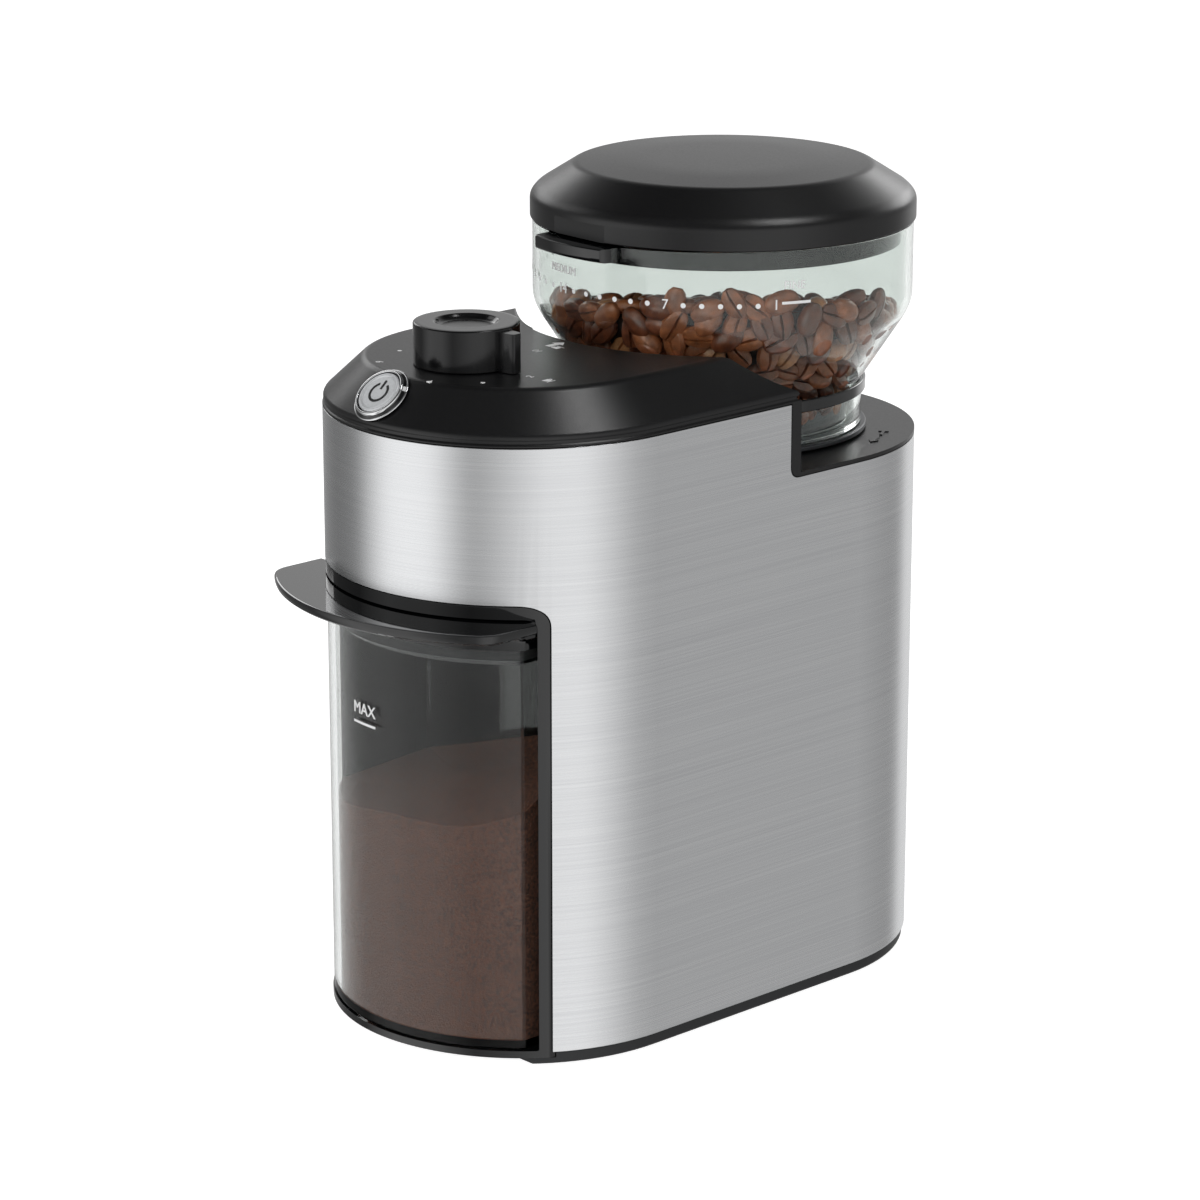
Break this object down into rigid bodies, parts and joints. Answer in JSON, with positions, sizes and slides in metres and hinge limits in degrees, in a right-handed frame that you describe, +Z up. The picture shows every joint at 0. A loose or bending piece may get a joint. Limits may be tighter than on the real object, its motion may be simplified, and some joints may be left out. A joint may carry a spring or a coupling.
{
  "type": "burr coffee grinder",
  "caption": "Upright burr coffee grinder: stadium-plan steel body, clear hopper on a stepped rear deck, front grounds container with handle lid, dose knob, power button.",
  "frame": {"origin": "on the standing plane under the rubber feet, at the middle of the overall width and length", "axes": "+Z up, front (container and power button) towards -Y, +X to the right as seen from the front"},
  "size_m": [0.1266, 0.2334, 0.27],
  "materials": {
    "stainless": "brushed stainless sheet, grain around the body",
    "black_satin": "satin black moulded ABS",
    "black_gloss": "polished black ABS",
    "base_black": "fine-textured black ABS",
    "clear": "clear moulded SAN",
    "rubber": "matt rubber",
    "button_silver": "satin silver cap",
    "button_chrome": "bright plated ring",
    "inner_black": "glass-filled nylon",
    "white_nylon": "natural nylon",
    "zinc": "zinc-plated or bright metal",
    "armature_steel": "laminations, winding and commutator",
    "burr_steel": "hardened burr steel",
    "bronze": "sintered bronze",
    "magnet": "ferrite and laminated core",
    "board": "circuit board",
    "capacitor_sleeve": "sleeved electrolytic can"
  },
  "bodies": {
    "root": {"steel_shell": "stainless", "top_cover": "black_satin", "front_frame": "black_gloss", "base_tray": "base_black", "chassis": "inner_black", "cord_gland": "rubber", "foot_1": "rubber", "foot_2": "rubber", "foot_3": "rubber", "foot_4": "rubber", "base_screw_1": "zinc", "base_screw_2": "zinc", "base_screw_3": "zinc", "base_screw_4": "zinc", "motor_boot": "rubber", "motor_end_cap": "white_nylon", "motor_can": "zinc", "magnet_left": "magnet", "magnet_right": "magnet", "gearbox_case": "inner_black", "layshaft": "zinc", "output_bush": "bronze", "shaft_seal": "rubber", "burr_chamber": "inner_black", "grounds_chute": "inner_black", "dose_pot": "zinc", "button_bezel": "button_chrome", "power_switch": "inner_black", "hopper_switch": "inner_black", "control_board": "board", "transformer": "magnet", "capacitor": "capacitor_sleeve", "heat_sink": "zinc"},
    "rotor": {"armature": "armature_steel", "motor_pinion": "bronze"},
    "countershaft_gear": {"compound_gear": "white_nylon"},
    "burr_drive": {"output_gear": "white_nylon", "burr_shaft": "zinc", "impeller": "white_nylon", "cone_burr": "burr_steel", "burr_nut": "zinc"},
    "upper_burr": {"burr_carrier": "inner_black", "ring_burr": "burr_steel"},
    "grind_collar": {"grind_ring": "black_satin"},
    "hopper": {"hopper_bowl": "clear", "neck_ring": "black_gloss"},
    "lid": {"hopper_lid": "black_satin", "lid_tab": "black_gloss"},
    "knob": {"dose_knob": "black_satin"},
    "button": {"power_button": "button_silver"},
    "bin": {"container": "clear", "container_lid": "black_gloss", "container_seal": "rubber"}
  },
  "joints": [
    {"name": "grind_adjust", "type": "hinge", "parent": "root", "child": "grind_collar", "pos_m": [0, 0.05205, 0.18], "axis": [0, 0, 1], "range_deg": [-62, 79]},
    {"name": "hopper_lift", "type": "slide", "parent": "grind_collar", "child": "hopper", "axis": [0, 0, 1], "range_m": [0, 0.08]},
    {"name": "lid_lift", "type": "slide", "parent": "hopper", "child": "lid", "axis": [0, 0, 1], "range_m": [0, 0.06]},
    {"name": "burr_gap", "type": "slide", "parent": "root", "child": "upper_burr", "axis": [0, 0, 1], "range_m": [-0.00104, 0.00132]},
    {"name": "dose_turn", "type": "hinge", "parent": "root", "child": "knob", "pos_m": [0, -0.06015, 0.2185], "axis": [0, 0, 1], "range_deg": [-280, 0]},
    {"name": "power_press", "type": "slide", "parent": "root", "child": "button", "axis": [0, 0.676, -0.7369], "range_m": [0, 0.0015], "stiffness_N_per_m": 400},
    {"name": "container_pull", "type": "slide", "parent": "root", "child": "bin", "axis": [0, -1, 0], "range_m": [0, 0.12]},
    {"name": "rotor_spin", "type": "hinge", "parent": "root", "child": "rotor", "pos_m": [0, 0.05205, 0.07], "axis": [0, 0, 1], "continuous": true},
    {"name": "countershaft_spin", "type": "hinge", "parent": "root", "child": "countershaft_gear", "pos_m": [0, 0.02565, 0.12], "axis": [0, 0, 1], "continuous": true},
    {"name": "burr_spin", "type": "hinge", "parent": "root", "child": "burr_drive", "pos_m": [0, 0.05205, 0.17], "axis": [0, 0, 1], "continuous": true}
  ],
  "couplings": [
    {"joint": "rotor_spin", "follows": "burr_spin", "ratio": 8},
    {"joint": "countershaft_spin", "follows": "burr_spin", "ratio": -2.6667},
    {"joint": "burr_gap", "follows": "grind_adjust", "m_per_rad": 0.00095}
  ]
}
